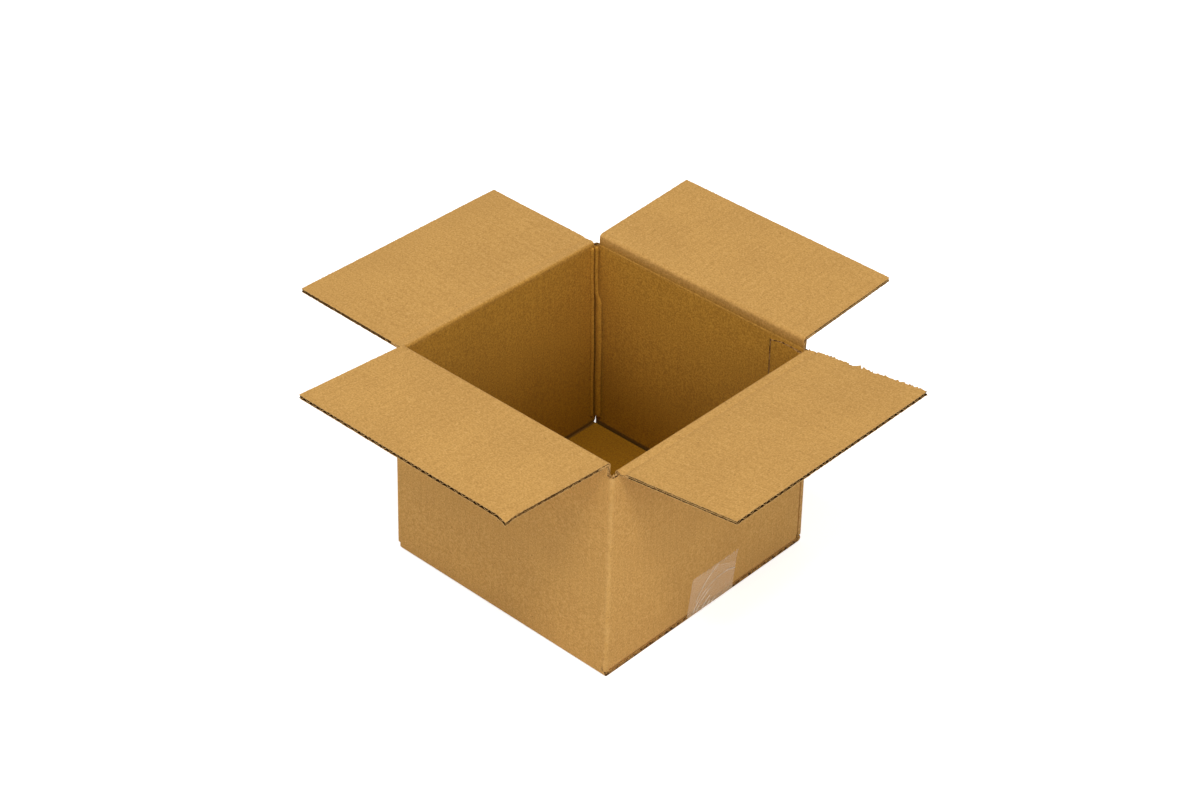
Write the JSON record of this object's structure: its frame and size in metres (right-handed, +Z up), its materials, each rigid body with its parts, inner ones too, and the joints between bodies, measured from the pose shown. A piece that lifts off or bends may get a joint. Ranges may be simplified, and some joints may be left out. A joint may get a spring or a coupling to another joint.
{
  "type": "open cardboard box",
  "caption": "Small open carton of brown corrugated board, with hinged top flaps folded out and a taped bottom.",
  "frame": {"origin": "middle of the underside, on the surface that the box stands on", "axes": "+Z up through the opening, -Y out of the front wall, +X out of the right wall"},
  "size_m": [0.3956, 0.3851, 0.1804],
  "materials": {
    "kraft_board": "unbleached kraft, matte",
    "clear_tape": "clear film, glossy"
  },
  "bodies": {
    "carton": {"carton": "kraft_board", "sealing_tape": "clear_tape"},
    "front_flap": {"front_flap": "kraft_board"},
    "back_flap": {"back_flap": "kraft_board"},
    "left_flap": {"left_flap": "kraft_board"},
    "right_flap": {"right_flap": "kraft_board"}
  },
  "joints": [
    {"name": "front_flap_hinge", "type": "hinge", "parent": "carton", "child": "front_flap", "pos_m": [0, -0.1002, 0.1713], "axis": [-1, 0, 0], "range_deg": [-78.7, 176.3]},
    {"name": "back_flap_hinge", "type": "hinge", "parent": "carton", "child": "back_flap", "pos_m": [0, 0.1002, 0.1713], "axis": [1, 0, 0], "range_deg": [-78.8, 176.2]},
    {"name": "left_flap_hinge", "type": "hinge", "parent": "carton", "child": "left_flap", "pos_m": [-0.0992, 0, 0.1648], "axis": [0, 1, 0], "range_deg": [-75.6, 179.4]},
    {"name": "right_flap_hinge", "type": "hinge", "parent": "carton", "child": "right_flap", "pos_m": [0.0992, 0, 0.1648], "axis": [0, -1, 0], "range_deg": [-82.8, 172.2]}
  ]
}
